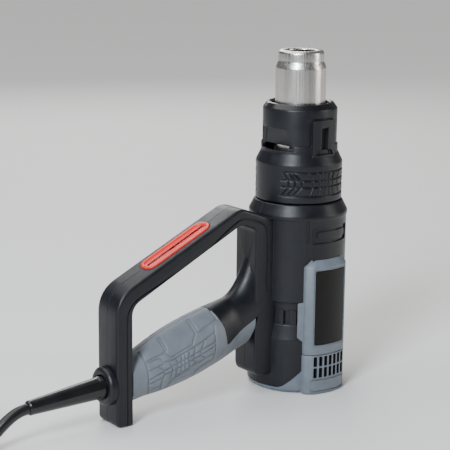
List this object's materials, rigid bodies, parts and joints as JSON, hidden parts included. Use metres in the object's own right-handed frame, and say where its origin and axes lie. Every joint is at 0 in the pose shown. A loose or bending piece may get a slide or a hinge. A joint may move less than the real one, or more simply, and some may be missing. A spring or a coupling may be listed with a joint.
{
  "type": "heat gun",
  "caption": "Hot air gun with a steel nozzle, finned motor barrel, cushioned grip inside a closed guard loop, and a coiled mains lead.",
  "frame": {"origin": "on the barrel axis at the flat rear stand face", "axes": "+Z along the barrel towards the nozzle, -X towards the handle, left side at -Y"},
  "size_m": [0.3911, 0.1418, 0.255],
  "materials": {
    "black_plastic": "fine-textured satin black with a blue cast",
    "grey_plastic": "satin mid grey",
    "grey_rubber": "soft-touch mid grey",
    "red_plastic": "satin red",
    "label_foil": "plain dark label",
    "stainless": "brushed stainless",
    "steel": "plain steel",
    "zinc": "bright zinc plate",
    "heating_wire": "oxidised resistance wire",
    "brass": "plain brass",
    "mica": "mica sheet",
    "ceramic": "unglazed ceramic",
    "white_plastic": "natural nylon",
    "circuit_board": "green circuit board",
    "wire_brown": "brown wire insulation",
    "wire_blue": "blue wire insulation",
    "black_rubber": "glossy black flexible moulding",
    "cord_sheath": "satin black cable sheath"
  },
  "bodies": {
    "body": {"shell_left": "black_plastic", "shell_right": "black_plastic", "nose_collar": "black_plastic", "heat_shroud": "black_plastic", "cord_collar": "black_plastic", "cord_clamp": "black_plastic", "motor_mount": "black_plastic", "air_duct": "black_plastic", "rear_cap": "grey_plastic", "side_frame_left": "grey_plastic", "side_frame_right": "grey_plastic", "label_plate_left": "label_foil", "label_plate_right": "label_foil", "grip_sleeve_left": "grey_rubber", "grip_sleeve_right": "grey_rubber", "guard_inlay": "red_plastic", "nozzle_tube": "stainless", "mica_sleeve": "mica", "element_board": "mica", "element_support": "ceramic", "heating_coil": "heating_wire", "thermal_cutout": "steel", "motor_can": "zinc", "motor_end_bell": "white_plastic", "motor_bush": "brass", "rectifier_board": "circuit_board", "wire_brown": "wire_brown", "wire_blue": "wire_blue", "inner_cord": "cord_sheath", "switch_body": "white_plastic", "cord_boot": "black_rubber", "cord": "cord_sheath", "cord_coil": "cord_sheath", "cord_tail": "cord_sheath", "cord_tie": "black_rubber", "plug_body": "black_rubber", "plug_pin_line": "brass", "plug_pin_neutral": "brass", "plug_pin_earth": "brass", "screw_leg_foot": "zinc", "screw_leg_middle": "zinc", "screw_guard_corner": "zinc", "screw_guard_apex": "zinc", "screw_root_top": "zinc", "screw_root_foot": "zinc", "screw_neck": "zinc", "screw_barrel_front": "zinc", "screw_barrel_rear": "zinc"},
    "rotor": {"motor_shaft": "steel", "fan_impeller": "white_plastic"},
    "slider": {"switch_slider": "black_plastic"}
  },
  "joints": [
    {"name": "fan_spin", "type": "hinge", "parent": "body", "child": "rotor", "pos_m": [0, 0, 0.085], "axis": [0, 0, 1], "continuous": true},
    {"name": "switch_slide", "type": "slide", "parent": "body", "child": "slider", "axis": [0.9617, 0, 0.274], "range_m": [0, 0.008]}
  ]
}
